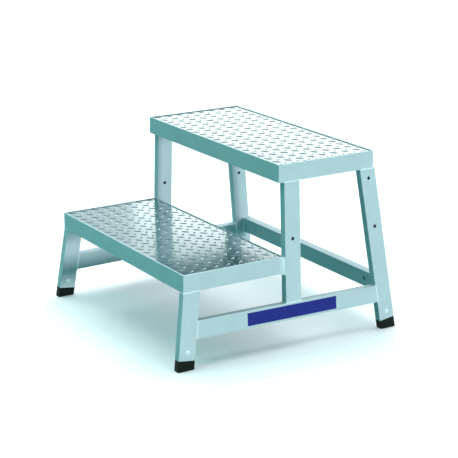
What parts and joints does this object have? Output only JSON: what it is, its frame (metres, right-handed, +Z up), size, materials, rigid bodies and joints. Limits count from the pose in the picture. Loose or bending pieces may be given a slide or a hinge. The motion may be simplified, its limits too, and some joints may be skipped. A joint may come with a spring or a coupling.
{
  "type": "two-step stool",
  "caption": "Free-standing welded aluminium step stool: raised-lug tread platforms at half and full height on splayed tube legs, with side rails, a rear brace and plug feet.",
  "frame": {"origin": "floor level, midway between the left and right sides and between the front and rear feet's outer edges", "axes": "+X to the right of a user who faces the stool, -Y the front with the lower step, +Z up"},
  "size_m": [0.7068, 0.6414, 0.47],
  "materials": {
    "satin_aluminium": "satin anodised",
    "bright_tread_plate": "bright rolled",
    "rivet_aluminium": "smooth",
    "black_foot": "matt moulded",
    "navy_label": "semi-gloss film"
  },
  "bodies": {
    "root": {"top_frame_front": "satin_aluminium", "top_frame_rear": "satin_aluminium", "top_frame_left": "satin_aluminium", "top_frame_right": "satin_aluminium", "step_frame_front": "satin_aluminium", "step_frame_rear": "satin_aluminium", "step_frame_left": "satin_aluminium", "step_frame_right": "satin_aluminium", "front_leg_left": "satin_aluminium", "front_leg_right": "satin_aluminium", "mid_leg_left": "satin_aluminium", "mid_leg_right": "satin_aluminium", "rear_leg_left": "satin_aluminium", "rear_leg_right": "satin_aluminium", "side_rail_left": "satin_aluminium", "side_rail_right": "satin_aluminium", "rear_brace": "satin_aluminium", "top_tread_plate": "bright_tread_plate", "step_tread_plate": "bright_tread_plate", "foot_front_left": "black_foot", "foot_front_right": "black_foot", "foot_rear_left": "black_foot", "foot_rear_right": "black_foot", "foot_rivets": "rivet_aluminium", "rail_label": "navy_label"}
  },
  "joints": []
}
